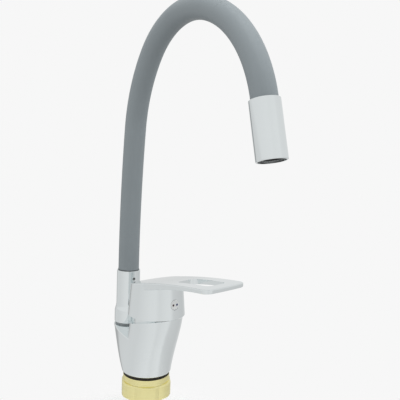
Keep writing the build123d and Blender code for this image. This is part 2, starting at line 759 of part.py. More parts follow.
lip_z = aerator_end - aerator_lip
aerator_bore_r = inner_r - aerator_wall
save(at_outlet(ring(inner_r, washer_bore_r, duct_end, washer_h)), "aerator_washer")
with BuildPart() as aerator:
    disc(inner_r, aerator_z, aerator_end - aerator_z)
    disc(aerator_bore_r, aerator_z, lip_z - aerator_z, 0, Mode.SUBTRACT)
    disc(aerator_bore_r - aerator_lip_w, lip_z, aerator_lip, 0, Mode.SUBTRACT)
save(at_outlet(aerator.part), "aerator_housing")

insert_r = aerator_bore_r - fit_play
with BuildPart() as mesh:
    disc(insert_r, lip_z - mesh_h, mesh_h)
save(at_outlet(mesh.part), "aerator_mesh")
with BuildPart() as insert:
    disc(insert_r, lip_z - mesh_h - insert_h, insert_h)
    with BuildSketch(Plane.XY.offset(lip_z - mesh_h)):
        for count, circle_r in zip(insert_ring_holes, insert_ring_r):
            with PolarLocations(circle_r, count):
                Circle(insert_hole_r)
    extrude(amount=-insert_h, mode=Mode.SUBTRACT)
save(at_outlet(insert.part), "aerator_insert")
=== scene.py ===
# %% [markdown]
# Kitchen mixer tap: the looks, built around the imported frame. The real object is a one-hole mixer with a
# chrome body, a lever on top and a tall arch of grey silicone. The whole tap could be modelled again
# here, but the frame already holds every solid at its exact size. So this script adds only what the
# solids leave plain: the sleeve, hose and wound tube that bend, the thread of the shank and the wires of
# the aerator. Finishes, floor, light and camera follow. Everything is in metres, +Z up, and the spout and
# the lever point to -Y. The tap's sizes and places are written in millimetres, and MM turns them into
# metres where Blender gets them.

# %% Load the frame
import bmesh
import bpy
from math import cos, pi, radians, sin
from mathutils import Matrix, Vector


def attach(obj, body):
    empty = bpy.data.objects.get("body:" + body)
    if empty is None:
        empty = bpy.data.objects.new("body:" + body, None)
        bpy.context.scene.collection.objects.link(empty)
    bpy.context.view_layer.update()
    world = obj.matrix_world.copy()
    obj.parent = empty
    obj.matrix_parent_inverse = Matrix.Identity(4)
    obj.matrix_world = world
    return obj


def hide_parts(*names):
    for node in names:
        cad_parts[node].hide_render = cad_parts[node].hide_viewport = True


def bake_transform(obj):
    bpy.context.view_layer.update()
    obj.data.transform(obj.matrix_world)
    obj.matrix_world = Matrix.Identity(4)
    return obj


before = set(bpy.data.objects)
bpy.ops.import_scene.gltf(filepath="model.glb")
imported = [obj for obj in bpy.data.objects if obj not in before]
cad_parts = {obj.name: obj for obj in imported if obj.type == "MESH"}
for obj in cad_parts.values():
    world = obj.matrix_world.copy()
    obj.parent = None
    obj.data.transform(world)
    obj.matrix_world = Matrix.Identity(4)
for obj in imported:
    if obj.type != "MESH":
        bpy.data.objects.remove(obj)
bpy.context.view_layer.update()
MM = 0.001
print("frame loaded:", len(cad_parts), "nodes")

# %% [markdown]
# A new piece has to fit the solids around it. Its sizes could be typed in again, but a typed size can go
# wrong. Where a solid of the frame shows a size, it is measured there instead. The frame's meshes are
# made of flat facets, so measuring is only good to a tenth of a millimetre.

# %% Measure a solid
def box_of(piece):
    """Lowest and highest corner of a piece's mesh, in mm to a tenth."""
    points = [vertex.co / MM for vertex in piece.data.vertices]
    return [[round(pick(point[axis] for point in points), 1) for axis in range(3)] for pick in (min, max)]


def radius_of(node):
    """Outer radius in mm of a round solid whose middle is at x = 0."""
    low, high = box_of(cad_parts[node])
    return (high[0] - low[0]) / 2


column_low, column_high = box_of(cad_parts["spout_column"])
print("spout column: from", column_low, "to", column_high)

# %% [markdown]
# The gooseneck of the real tap is a bendy tube that stays as the owner bends it, and here it stands in an
# arch. Its centre line could be a Bezier curve drawn by eye, but then no distance along it would be
# known. A chain of arcs was chosen instead, where each arc starts in the direction in which the last one
# ends. A few radii and angles give the whole line, and any piece can be placed by its distance along it.
# The line lies in the plane x = 0 and goes on straight at both ends.

# %% Centre line of the spout
SPOUT_Y = (column_low[1] + column_high[1]) / 2
COLUMN_TOP = column_high[2]
ARC_RADII = (1400.0, 146.0, 88.0, 112.0)
ARC_TURNS = (6.2, 31.5, 66.0, 62.0)
ARC_LENGTHS = [radians(turn) * radius for radius, turn in zip(ARC_RADII, ARC_TURNS)]
ROUTE_LENGTH = sum(ARC_LENGTHS)


def on_route(s):
    """Point on the centre line and its heading from straight up, s mm from the column's top."""
    y, z, heading = SPOUT_Y, COLUMN_TOP, 0.0
    if s < 0:
        return Vector((0, y, z + s)), heading
    for radius, length in zip(ARC_RADII, ARC_LENGTHS):
        centre_y = y - radius * cos(heading)
        centre_z = z - radius * sin(heading)
        turn = min(s, length) / radius
        heading += turn
        y = centre_y + radius * cos(heading)
        z = centre_z + radius * sin(heading)
        s -= length
        if s <= 0:
            return Vector((0, y, z)), heading
    return Vector((0, y - s * sin(heading), z + s * cos(heading))), heading


outlet_point, outlet_heading = on_route(ROUTE_LENGTH)
print("centre line:", round(ROUTE_LENGTH, 1), "mm long, outlet at", [round(v, 1) for v in outlet_point])

# %% [markdown]
# Materials, the studio and the grown pieces are all trees of nodes. They could be clicked together by
# hand, but a script can be run again and read. Two small helpers do all of it: one sets a node's inputs,
# the other adds a node and sets its inputs in one go.

# %% Helpers for nodes
def fill(tree, made, inputs):
    """Sets a node's inputs by label or number. A value that is a socket is linked."""
    for label, value in inputs.items():
        if isinstance(value, bpy.types.NodeSocket):
            tree.links.new(value, made.inputs[label])
        else:
            made.inputs[label].default_value = value
    return made


def new_node(tree, kind, inputs, **settings):
    """Adds a node of a kind with its settings and inputs."""
    made = tree.nodes.new(kind)
    for setting, value in settings.items():
        setattr(made, setting, value)
    return fill(tree, made, inputs)


# %% [markdown]
# No surface of a real tap is quite even: chrome has a faint haze, brass has tool marks, rubber is grainy.
# Photographs of such surfaces could be wrapped around the pieces, but they need unwrapping and show
# seams. Noise textures need neither. A fine one raises the grain, and a broad one varies the gloss and
# the colour. Both read Object coordinates, so the pattern stays on its piece when the piece moves.

# %% Grain and mottle
FINE_DETAIL = 4
BROAD_DETAIL = 3


def surface_noise(tree, grain, mottle, stretch):
    """Fine and broad noise. Grain and mottle say how many patches fit on a metre."""
    place = new_node(tree, "ShaderNodeTexCoord", {}).outputs["Object"]
    spot = new_node(tree, "ShaderNodeMapping", {"Vector": place, "Scale": stretch}).outputs["Vector"]
    fine = new_node(tree, "ShaderNodeTexNoise", {"Vector": spot, "Scale": grain, "Detail": FINE_DETAIL})
    broad = new_node(tree, "ShaderNodeTexNoise", {"Vector": spot, "Scale": mottle, "Detail": BROAD_DETAIL})
    return fine.outputs["Fac"], broad.outputs["Fac"]


# %% [markdown]
# All finishes of the tap are built alike: a colour that drifts to a second one, a gloss that isn't the
# same everywhere, and a grain. Each could be its own tree of nodes, but one function keeps them alike and
# short. What is the same all over a piece, such as how metallic it is, is set on the shader itself.

# %% A finish
NOISE_LOW = 0.3
NOISE_HIGH = 0.7
GRAIN_HEIGHT = 0.2
COAT_ROUGHNESS = 0.08
TINT_SHARE = 0.9
MIX_FACTOR, MIX_A, MIX_B, MIX_RESULT = 0, 6, 7, 2  # the sockets of a Mix node that mix colours


def finish(name, color, tint=None, metallic=0.0, rough=(0.3, 0.4), grain=3000, grain_depth=0.05, mottle=30,
           stretch=(1, 1, 1), specular=0.5, coat=0.0):
    """A material whose colour drifts to its tint. Rough is its least and greatest roughness."""
    material = bpy.data.materials.new(name)
    material.use_nodes = True
    tree = material.node_tree
    fine, broad = surface_noise(tree, grain, mottle, stretch)
    gloss = new_node(tree, "ShaderNodeMapRange", {
        "Value": broad, "From Min": NOISE_LOW, "From Max": NOISE_HIGH,
        "To Min": rough[0], "To Max": rough[1]})
    bump = new_node(tree, "ShaderNodeBump", {
        "Height": fine, "Strength": grain_depth, "Distance": GRAIN_HEIGHT * MM})
    shade = tint or [TINT_SHARE * c for c in color]
    drift = new_node(tree, "ShaderNodeMix", {
        MIX_FACTOR: broad, MIX_A: (*color, 1), MIX_B: (*shade, 1)}, data_type="RGBA")
    shader = fill(tree, tree.nodes["Principled BSDF"], {
        "Base Color": drift.outputs[MIX_RESULT], "Roughness": gloss.outputs["Result"],
        "Normal": bump.outputs["Normal"], "Metallic": metallic, "Specular IOR Level": specular})
    if coat:
        fill(tree, shader, {"Coat Weight": coat, "Coat Roughness": COAT_ROUGHNESS})
    print("finish:", name, "with roughness", rough[0], "to", rough[1])
    return material


# %% [markdown]
# The body, lever, column and head of the real tap are brass, polished and plated with bright chrome.
# Chrome could be a plain mirror, but a perfect mirror looks like a computer drawing. So its grey is a
# touch cooler than white, its gloss varies a little, and it has a very faint grain. The nut, the collar
# and the shank are bare brass from the lathe: yellow, duller, with marks round the turning axis, which
# come from noise that is squeezed along Z. The inner metal pieces are plain steel, and the column's screw
# and the aerator's wires are a darker one.

# %% Metal finishes
chrome = finish("polished_chrome", (0.82, 0.855, 0.862), (0.78, 0.815, 0.822), metallic=1.0,
                rough=(0.03, 0.07), grain_depth=0.01, mottle=18)
brass = finish("machined_brass", (0.93, 0.87, 0.47), (0.87, 0.78, 0.37), metallic=1.0, rough=(0.28, 0.42),
               grain=1200, grain_depth=0.2, mottle=60, stretch=(1, 1, 12))
steel = finish("plain_steel", (0.60, 0.61, 0.62), metallic=1.0, rough=(0.25, 0.35), grain_depth=0.1)
dark_steel = finish("dark_steel_wire", (0.22, 0.22, 0.22), metallic=1.0, rough=(0.3, 0.4), grain_depth=0.1)

# %% [markdown]
# The sleeve of the real spout is grey silicone, matt and soft to the touch, and the gaskets are black
# rubber. A matt surface could just be made fully rough, but then it looks like chalk. Silicone keeps a
# weak, wide shine, so its roughness is in the middle and its reflection is turned down. Rubber is rougher
# and darker, with a stronger grain.

# %% Silicone and rubber
silicone = finish("grey_silicone", (0.186, 0.209, 0.221), (0.171, 0.194, 0.205), rough=(0.42, 0.52),
                  grain=4000, grain_depth=0.12, specular=0.35)
rubber = finish("black_rubber", (0.014, 0.011, 0.007), rough=(0.55, 0.7), grain=2500, grain_depth=0.3,
                specular=0.3)

# %% [markdown]
# Moulded plastic is in several places: rings and the aerator in greys and black, the cartridge and the
# hose in white, and the index plug on the hood in light grey with a red and a blue dot for hot and cold.
# The two discs in the cartridge are ceramic, ground so flat that they hold water back, and nearly as
# glossy as glass. One plastic in many colours would do for a drawing. Here the gloss differs too, and the
# ceramic gets a clear coat.

# %% Plastics, ceramic and paint
black_plastic = finish("black_plastic", (0.02, 0.021, 0.022), rough=(0.35, 0.5), grain_depth=0.2)
ring_grey = finish("dark_grey_plastic", (0.09, 0.10, 0.105), rough=(0.35, 0.5), grain_depth=0.2)
bearing_grey = finish("grey_bearing_plastic", (0.22, 0.24, 0.245), rough=(0.35, 0.5), grain_depth=0.2)
white_plastic = finish("white_plastic", (0.74, 0.74, 0.71), rough=(0.35, 0.45), grain_depth=0.1)
ceramic = finish("white_ceramic", (0.82, 0.80, 0.74), rough=(0.08, 0.15), grain_depth=0.02, coat=0.4)
plug_grey = finish("grey_plastic", (0.66, 0.67, 0.665), rough=(0.2, 0.3))
red_paint = finish("red_paint", (0.045, 0.006, 0.005), rough=(0.2, 0.3))
blue_paint = finish("blue_paint", (0.008, 0.02, 0.10), rough=(0.2, 0.3))
print("materials so far:", len(bpy.data.materials))

# %% [markdown]
# Most pieces of the tap are seen just as the frame gives them, castings and turned parts with plain
# faces. They could be copied and dressed up, but a copy can only get worse than the exact solid. So they
# keep their meshes and only get their finish, looked up in this list of which piece is made of what.

# %% Finish the solids
FINISHES = {
    chrome: ("body_casting", "lever_handle", "spout_column", "outlet_head"),
    brass: ("clamp_collar", "mounting_nut", "cartridge_nut", "lower_ferrule", "upper_ferrule"),
    steel: ("spindle", "spindle_pin", "grub_screw", "gooseneck_riser", "gooseneck_end"),
    dark_steel: ("column_screw",),
    rubber: ("base_gasket", "cartridge_seals", "column_o_rings", "aerator_washer"),
    ring_grey: ("sleeve_ring",),
    bearing_grey: ("bearing_ring",),
    black_plastic: ("aerator_housing", "aerator_insert"),
    white_plastic: ("cartridge_housing", "cartridge_base", "cartridge_rotor", "disc_carrier", "column_clip"),
    ceramic: ("fixed_disc", "moving_disc"),
    plug_grey: ("index_plug",),
    red_paint: ("hot_mark",),
    blue_paint: ("cold_mark",),
}
for material, names in FINISHES.items():
    for name in names:
        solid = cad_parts[name]
        solid.data.materials.clear()
        solid.data.materials.append(material)
print("finished solids:", sum(len(names) for names in FINISHES.values()))

# %% [markdown]
# Some pieces follow a path or repeat: the sleeve and the hose follow the arch, and the aerator's wires
# repeat. They could be modelled by hand, point by point, but then a new size means doing it all again.
# Geometry Nodes grow them from a rule. A group of nodes is built here in the script, with named inputs
# for its sizes, so that one group can make a thick sleeve and a thin hose. Every group ends in the same
# two nodes: Realize Instances, because the exported model has no instances, and Set Material.

# %% Start, sums and end of a group
def node_group(name, sockets):
    """An empty group that takes a geometry and the named inputs, and gives back a geometry."""
    group = bpy.data.node_groups.new(name, "GeometryNodeTree")
    group.interface.new_socket("Geometry", in_out="INPUT", socket_type="NodeSocketGeometry")
    for label, kind in sockets.items():
        group.interface.new_socket(label, in_out="INPUT", socket_type=kind)
    group.interface.new_socket("Geometry", in_out="OUTPUT", socket_type="NodeSocketGeometry")
    return group


def end_group(group, geometry, material):
    real = new_node(group, "GeometryNodeRealizeInstances", {"Geometry": geometry})
    paint = new_node(group, "GeometryNodeSetMaterial", {
        "Geometry": real.outputs["Geometry"], "Material": material})
    new_node(group, "NodeGroupOutput", {"Geometry": paint.outputs["Geometry"]})
    print("group:", group.name, "with", len(group.nodes), "nodes")


def math_node(group, kind, first, second=0.0):
    """The result of a Math node in a group, fed by sockets or plain numbers."""
    return new_node(group, "ShaderNodeMath", {0: first, 1: second}, operation=kind).outputs["Value"]


# %% [markdown]
# A group does nothing until it runs as a modifier on an object. Here that object is a carrier, whose mesh
# is the line to follow, or empty where a group needs no line. The modifier could stay live in the file,
# but the exported model holds plain meshes only. So it runs once, its result is kept as a plain mesh, and
# the carrier is thrown away. At the end the normals are worked out again, so that all faces of the shell
# point outwards.

# %% Run a group once
def add_piece(name, mesh, sharp):
    """Puts a mesh into the scene, shaded smooth except at corners sharper than so many degrees."""
    mesh.name = name
    mesh.shade_smooth()
    mesh.set_sharp_from_angle(angle=radians(sharp))
    piece = bpy.data.objects.new(name, mesh)
    bpy.context.scene.collection.objects.link(piece)
    print("piece:", name, "with", len(mesh.polygons), "faces")
    return piece


def face_outwards(mesh):
    shell = bmesh.new()
    shell.from_mesh(mesh)
    bmesh.ops.recalc_face_normals(shell, faces=shell.faces)
    shell.to_mesh(mesh)
    shell.free()


def grown(name, group, values, line=(), sharp=40):
    """Runs a group on a carrier with the line, in mm, and keeps the result as a piece."""
    path = bpy.data.meshes.new(name + "_line")
    path.from_pydata([MM * point for point in line], [(i, i + 1) for i in range(len(line) - 1)], [])
    carrier = bpy.data.objects.new(name + "_carrier", path)
    bpy.context.scene.collection.objects.link(carrier)
    modifier = carrier.modifiers.new("grow", "NODES")
    modifier.node_group = group
    for item in group.interface.items_tree:
        if item.in_out == "INPUT" and item.name in values:
            modifier[item.identifier] = values[item.name]
    carrier.update_tag()
    bpy.context.view_layer.update()
    result = carrier.evaluated_get(bpy.context.evaluated_depsgraph_get())
    mesh = bpy.data.meshes.new_from_object(result)
    carrier.modifiers.clear()
    bpy.data.objects.remove(carrier)
    face_outwards(mesh)
    return add_piece(name, mesh, sharp)


# %% [markdown]
# The sleeve and the hose are both a round wall that follows the arch. A tube could be swept with a
# ring-shaped profile, but its ends would stay open. This group sweeps a circle for the outer side and
# extrudes that skin inwards by the wall's thickness, which makes the bore and both rims. The two skins
# are then merged where they meet, into one closed wall.

# %% Group for a wall along a line
MERGE_WITHIN = 0.01
wall_group = node_group("wall_along_line", {
    "Radius": "NodeSocketFloat",
    "Wall": "NodeSocketFloat",
    "Columns": "NodeSocketInt",
    "Material": "NodeSocketMaterial",
})
given = wall_group.nodes.new("NodeGroupInput").outputs
line = new_node(wall_group, "GeometryNodeMeshToCurve", {"Mesh": given["Geometry"]}).outputs["Curve"]
circle = new_node(wall_group, "GeometryNodeCurvePrimitiveCircle", {
    "Resolution": given["Columns"], "Radius": given["Radius"]}).outputs["Curve"]
outside = new_node(wall_group, "GeometryNodeCurveToMesh", {
    "Curve": line, "Profile Curve": circle}).outputs["Mesh"]
inwards = math_node(wall_group, "MULTIPLY", given["Wall"], -1)
inside = new_node(wall_group, "GeometryNodeExtrudeMesh", {
    "Mesh": outside, "Offset Scale": inwards, "Individual": False}).outputs["Mesh"]
bore = new_node(wall_group, "GeometryNodeFlipFaces", {"Mesh": inside}).outputs["Mesh"]
both = new_node(wall_group, "GeometryNodeJoinGeometry", {"Geometry": outside})
fill(wall_group, both, {"Geometry": bore})
merged = new_node(wall_group, "GeometryNodeMergeByDistance", {
    "Geometry": both.outputs["Geometry"], "Distance": MERGE_WITHIN * MM})
end_group(wall_group, merged.outputs["Geometry"], given["Material"])

# %% [markdown]
# The owner can bend the real gooseneck anywhere. This part has one hinge for it, so a stretch before the
# head takes the whole bend. The foot of the sleeve is on the other side of the arch, where that straight
# line leads away from it, and the foot would swing with the head. So sleeve and hose are made in two
# parts with a hidden seam: one rides on the spout, the other lies past the seam, over the bend.

# %% Where the spout bends
FLEX_START = 41.0
FLEX_LENGTH = 30.0
BEND_MARGIN = 10.0
SEAM_DISTANCE = 4.0
FLEX_FROM = sum(ARC_LENGTHS[:-1]) + FLEX_START
FLEX_TO = FLEX_FROM + FLEX_LENGTH
BEND_FROM = FLEX_FROM - BEND_MARGIN
BEND_TO = FLEX_TO + BEND_MARGIN
SEAM = BEND_FROM - SEAM_DISTANCE
bend_start = tuple(MM * v for v in on_route(BEND_FROM)[0])
bend_end = tuple(MM * v for v in on_route(BEND_TO)[0])
print("bends from", round(BEND_FROM, 1), "to", round(BEND_TO, 1), "mm, seam at", round(SEAM, 1), "mm")

# %% [markdown]
# A soft piece on the spout is then three steps: its line from the centre line, its wall from the group,
# and, for the part that rides on the spout, its place in the motion. The places could be written out for
# the sleeve and again for the hose, but two lists that have to agree are easily wrong, so one helper does
# it for both. Each part stands for the same solid of the frame.

# %% Two parts of a soft piece
def steps(low, high, count):
    """Evenly spaced numbers from low to high."""
    return [low + (high - low) * i / (count - 1) for i in range(count)]


def wall_on_route(name, low, high, rings, form):
    """Runs the wall's group with the inputs in form on the centre line from low to high."""
    return grown(name, wall_group, form, line=[on_route(s)[0] for s in steps(low, high, rings)])


def still_and_bending(still, bending, node):
    """The still part rides on the spout, and the part past the seam stays where it lies."""
    for piece in (still, bending):
        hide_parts(node)
    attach(still, "spout")
    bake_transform(bending)
    print(still.name, "lies in", box_of(still), "and", bending.name, "in", box_of(bending))


# %% [markdown]
# The silicone sleeve gives the spout its grey arch. It stands on the dark ring of the column and ends in
# the head. It could be a solid bar, as nobody sees its inside, but a real sleeve is a wall that can
# stretch and bend, and when it bends, the tube inside must find room. So it is a wall with the bore that
# the solid has too.

# %% Silicone sleeve
SLEEVE_R = radius_of("silicone_sleeve")
SLEEVE_BORE_R = 8.6
RING_CLEARANCE = 0.05
SLEEVE_IN_HEAD = 6.0
ring_top = box_of(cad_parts["sleeve_ring"])[1][2]
SLEEVE_START = ring_top - COLUMN_TOP + RING_CLEARANCE
SLEEVE_END = ROUTE_LENGTH + SLEEVE_IN_HEAD
sleeve_form = {
    "Radius": SLEEVE_R * MM, "Wall": (SLEEVE_R - SLEEVE_BORE_R) * MM, "Columns": 64, "Material": silicone}
sleeve = wall_on_route("sleeve_soft", SLEEVE_START, SEAM, rings=200, form=sleeve_form)
sleeve_end = wall_on_route("sleeve_soft_end", SEAM, SLEEVE_END, rings=60, form=sleeve_form)
still_and_bending(sleeve, sleeve_end, "silicone_sleeve")

# %% [markdown]
# The water runs in a thin white hose inside the gooseneck, from below the column's top to deep in the
# head. It could be left out, since the sleeve hides it, but a tap that is cut open or taken apart shows
# it. It follows the same line as the sleeve, so the same group makes it, with fewer columns because it is
# thinner.

# %% Water hose
HOSE_R = radius_of("water_hose")
HOSE_BORE_R = 3.8
HOSE_BELOW_TOP = 25.0
HOSE_IN_HEAD = 18.0
HOSE_START = -HOSE_BELOW_TOP
HOSE_END = ROUTE_LENGTH + HOSE_IN_HEAD
hose_form = {
    "Radius": HOSE_R * MM, "Wall": (HOSE_R - HOSE_BORE_R) * MM, "Columns": 32, "Material": white_plastic}
hose = wall_on_route("hose_soft", HOSE_START, SEAM, rings=180, form=hose_form)
hose_end = wall_on_route("hose_soft_end", SEAM, HOSE_END, rings=60, form=hose_form)
still_and_bending(hose, hose_end, "water_hose")

# %% [markdown]
# Two pieces are round but have a radius that changes with the place and the angle: the wound tube and the
# thread. Bumps in the material could fake that, but a bump is flat in outline and doesn't reach the
# exported mesh. Here the skin is written as rings of points instead. A rule gives the radius of every
# point, and the faces run from ring to ring and from the last ring back to the first, so the skin is
# closed.

# %% Skin of rings
def mesh_object(name, points, faces, sharp=40):
    """A piece from points in mm and faces."""
    mesh = bpy.data.meshes.new(name)
    mesh.from_pydata([tuple(MM * v for v in point) for point in points], [], faces)
    mesh.update()
    return add_piece(name, mesh, sharp)


def ring(centre, side, place, radius, columns):
    """Points round a centre, from +X to the side. The radius is a number or a rule of place and angle."""
    points = []
    for column in range(columns):
        angle = 2 * pi * column / columns
        r = radius(place, angle) if callable(radius) else radius
        points.append(centre + r * (cos(angle) * Vector((1, 0, 0)) + sin(angle) * side))
    return points


def closed_rings(name, rings, sharp):
    """A piece whose skin joins each ring to the next and the last ring to the first."""
    rows, columns = len(rings), len(rings[0])
    faces = []
    for row in range(rows):
        here, there = row * columns, (row + 1) % rows * columns
        for column in range(columns):
            beside = (column + 1) % columns
            faces.append((here + column, here + beside, there + beside, there + column))
    return mesh_object(name, [point for points in rings for point in points], faces, sharp)


# %% [markdown]
# In its bending stretch the real gooseneck is a tube wound from steel strip, which is what makes it stay
# where it is put. The strip could be modelled as one long coil, with open ends and a great many faces.
# Only its rounded back and the groove between two turns can be felt, so the tube is one closed skin whose
# radius dips at each groove. The dip moves on with the angle, and that makes the groove a helix.

# %% Wound tube
TUBE_R = radius_of("gooseneck_flex")
TUBE_BORE_R = 6.3
TUBE_COLUMNS = 48
TUBE_RINGS = 181
TUBE_BORE_RINGS = 31
STRIP_PITCH = 3.0
STRIP_DEPTH = 0.5
STRIP_FLATNESS = 4


def wound_radius(s, angle):
    """Round back of the strip with a helical groove at each turn."""
    across = ((s - FLEX_FROM) / STRIP_PITCH + angle / (2 * pi)) % 1.0
    return TUBE_R - STRIP_DEPTH * abs(2 * across - 1) ** STRIP_FLATNESS


def ring_on_route(s, radius):
    centre, heading = on_route(s)
    return ring(centre, Vector((0, cos(heading), sin(heading))), s, radius, TUBE_COLUMNS)


outer_rings = [ring_on_route(s, wound_radius) for s in steps(FLEX_FROM, FLEX_TO, TUBE_RINGS)]
bore_rings = [ring_on_route(s, TUBE_BORE_R) for s in steps(FLEX_TO, FLEX_FROM, TUBE_BORE_RINGS)]
wound = closed_rings("wound_tube_soft", outer_rings + bore_rings, sharp=60)
wound.data.materials.append(steel)
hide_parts("gooseneck_flex")
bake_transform(wound)
print("wound tube: from", box_of(wound)[0], "to", box_of(wound)[1])

# %% [markdown]
# The shank is the threaded brass tube under the body. The nut runs on it and clamps the tap to the
# worktop. A thread can be cut into a solid, which makes it heavy, or swept as a V along a helix, whose
# ends are hard to close. A rule for the radius is simpler: one wave to each turn, which moves on with the
# angle. Above the nut's lower face nobody sees the thread, so the shank is plain there.

# %% Sizes of the shank
SHANK_R = radius_of("mounting_shank")
SHANK_BOTTOM = box_of(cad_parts["mounting_shank"])[0][2]
SHANK_TOP = box_of(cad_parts["mounting_shank"])[1][2]
NUT_BOTTOM = box_of(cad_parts["mounting_nut"])[0][2]
PLAIN_R = 16.2
SHANK_BORE_R = 14.0
SHANK_CHAMFER = 1.2
BORE_CHAMFER = 0.4
THREAD_PITCH = 1.5
THREAD_DEPTH = 0.85
THREAD_STEP = 0.01
THREAD_ROWS = 240
THREAD_COLUMNS = 96
print("thread:", (NUT_BOTTOM - SHANK_BOTTOM) / THREAD_PITCH, "turns of", THREAD_PITCH, "mm")

# %% [markdown]
# The shank's skin is one chain of rings: down the plain part, down the thread, round the lower end with
# its chamfer, and up the bore. It could be put together from a tube and a thread, but pieces that only
# touch make a mesh that can't be printed. At the lower end the thread has to die out, or it would end in
# a wall, so its radius is never more than that of the chamfer.

# %% Threaded shank
def thread_radius(z, angle):
    """Rounded thread that runs out into the chamfer at the lower end."""
    across = (z / THREAD_PITCH - angle / (2 * pi)) % 1.0
    radius = SHANK_R - THREAD_DEPTH * (0.5 + 0.5 * cos(2 * pi * across))
    return min(radius, SHANK_R - SHANK_CHAMFER + (z - SHANK_BOTTOM))


rows = [(SHANK_TOP, PLAIN_R), (NUT_BOTTOM, PLAIN_R)]
rows += [(z, thread_radius) for z in steps(NUT_BOTTOM - THREAD_STEP, SHANK_BOTTOM, THREAD_ROWS)]
rows += [(SHANK_BOTTOM, SHANK_BORE_R + BORE_CHAMFER), (SHANK_BOTTOM + BORE_CHAMFER, SHANK_BORE_R)]
rows += [(SHANK_TOP, SHANK_BORE_R)]
shank_rings = [ring(Vector((0, 0, z)), Vector((0, -1, 0)), z, radius, THREAD_COLUMNS) for z, radius in rows]
shank = closed_rings("shank_threaded", shank_rings, sharp=50)
shank.data.materials.append(brass)
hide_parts("mounting_shank")
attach(shank, "body")
print("shank: from", box_of(shank)[0], "to", box_of(shank)[1])

# %% [markdown]
# Deep in the mouth of the head sits the aerator, whose screen of fine wires mixes air into the water. A
# picture of a screen with see-through holes would be quick, but close up it is flat. Wires woven over and
# under each other would be true to life, but take very many faces for a piece 20 mm wide. Two crossed
# layers of straight wires look the same at this size. The group first works out how many wires fit: as
# many steps as go into the radius, on both sides of the middle one.

# %% Group for a screen of wires
SCREEN_R = radius_of("aerator_mesh")
WIRE_R = 0.22
WIRE_STEP = 1.0
WIRE_SIDES = 10
screen_group = node_group("wire_screen", {
    "Radius": "NodeSocketFloat",
    "Wire radius": "NodeSocketFloat",
    "Step": "NodeSocketFloat",
    "Material": "NodeSocketMaterial",
})
given = screen_group.nodes.new("NodeGroupInput").outputs
reach = math_node(screen_group, "SUBTRACT", given["Radius"], given["Wire radius"])
side_count = math_node(screen_group, "FLOOR", math_node(screen_group, "DIVIDE", reach, given["Step"]))
wire_count = math_node(screen_group, "ADD", math_node(screen_group, "MULTIPLY", side_count, 2), 1)
half_width = math_node(screen_group, "MULTIPLY", side_count, given["Step"])
first_x = math_node(screen_group, "MULTIPLY", half_width, -1)
reach_squared = math_node(screen_group, "MULTIPLY", reach, reach)
layers = new_node(screen_group, "GeometryNodeJoinGeometry", {})
print("wires in a layer:", 2 * int((SCREEN_R - WIRE_R) / WIRE_STEP) + 1)

# %% [markdown]
# Each wire has to end at the round rim of the screen. The wires could be laid out in a square and cut
# with a boolean, which often leaves slivers. It is cleaner to make each wire as long as the circle is
# wide at its place: half that width is the root of the reach squared less x squared. The cylinder is one
# unit long before it is stretched, and a tiny least value keeps the number under the root above zero.

# %% Layers of the screen
LEAST_SQUARED = 1e-8
LAYER_SINK = 0.01
LAYER_LIFT = WIRE_R - LAYER_SINK


def wire_layer(turn, lift):
    """One layer of parallel wires, turned in its plane and lifted along the outlet's axis."""
    start = new_node(screen_group, "ShaderNodeCombineXYZ", {"X": first_x}).outputs["Vector"]
    step = new_node(screen_group, "ShaderNodeCombineXYZ", {"X": given["Step"]}).outputs["Vector"]
    places = new_node(screen_group, "GeometryNodeMeshLine", {
        "Count": wire_count, "Start Location": start, "Offset": step}).outputs["Mesh"]
    wire = new_node(screen_group, "GeometryNodeMeshCylinder", {
        "Vertices": WIRE_SIDES, "Radius": given["Wire radius"], "Depth": 1.0}).outputs["Mesh"]
    position = new_node(screen_group, "GeometryNodeInputPosition", {}).outputs["Position"]
    x = new_node(screen_group, "ShaderNodeSeparateXYZ", {"Vector": position}).outputs["X"]
    x_squared = math_node(screen_group, "MULTIPLY", x, x)
    half_squared = math_node(screen_group, "SUBTRACT", reach_squared, x_squared)
    half = math_node(screen_group, "SQRT", math_node(screen_group, "MAXIMUM", half_squared, LEAST_SQUARED))
    length = math_node(screen_group, "MULTIPLY", half, 2)
    stretch = new_node(screen_group, "ShaderNodeCombineXYZ", {"X": 1.0, "Y": 1.0, "Z": length})
    wires = new_node(screen_group, "GeometryNodeInstanceOnPoints", {
        "Points": places, "Instance": wire, "Rotation": (pi / 2, 0, 0),
        "Scale": stretch.outputs["Vector"]}).outputs["Instances"]
    return new_node(screen_group, "GeometryNodeTransform", {
        "Geometry": wires, "Rotation": (0, 0, turn), "Translation": (0, 0, lift * MM)}).outputs["Geometry"]


fill(screen_group, layers, {"Geometry": wire_layer(0.0, -LAYER_LIFT)})
fill(screen_group, layers, {"Geometry": wire_layer(pi / 2, LAYER_LIFT)})
end_group(screen_group, layers.outputs["Geometry"], given["Material"])

# %% [markdown]
# The group makes the screen flat at the origin, and the real one sits inside the head, square to the
# water's way. Its object could be moved there, but the export puts every object at the origin before it
# works on it. So the place goes into the mesh. The three directions that turn it are checked for being
# right-handed, because a mirrored set would turn the faces inside out.

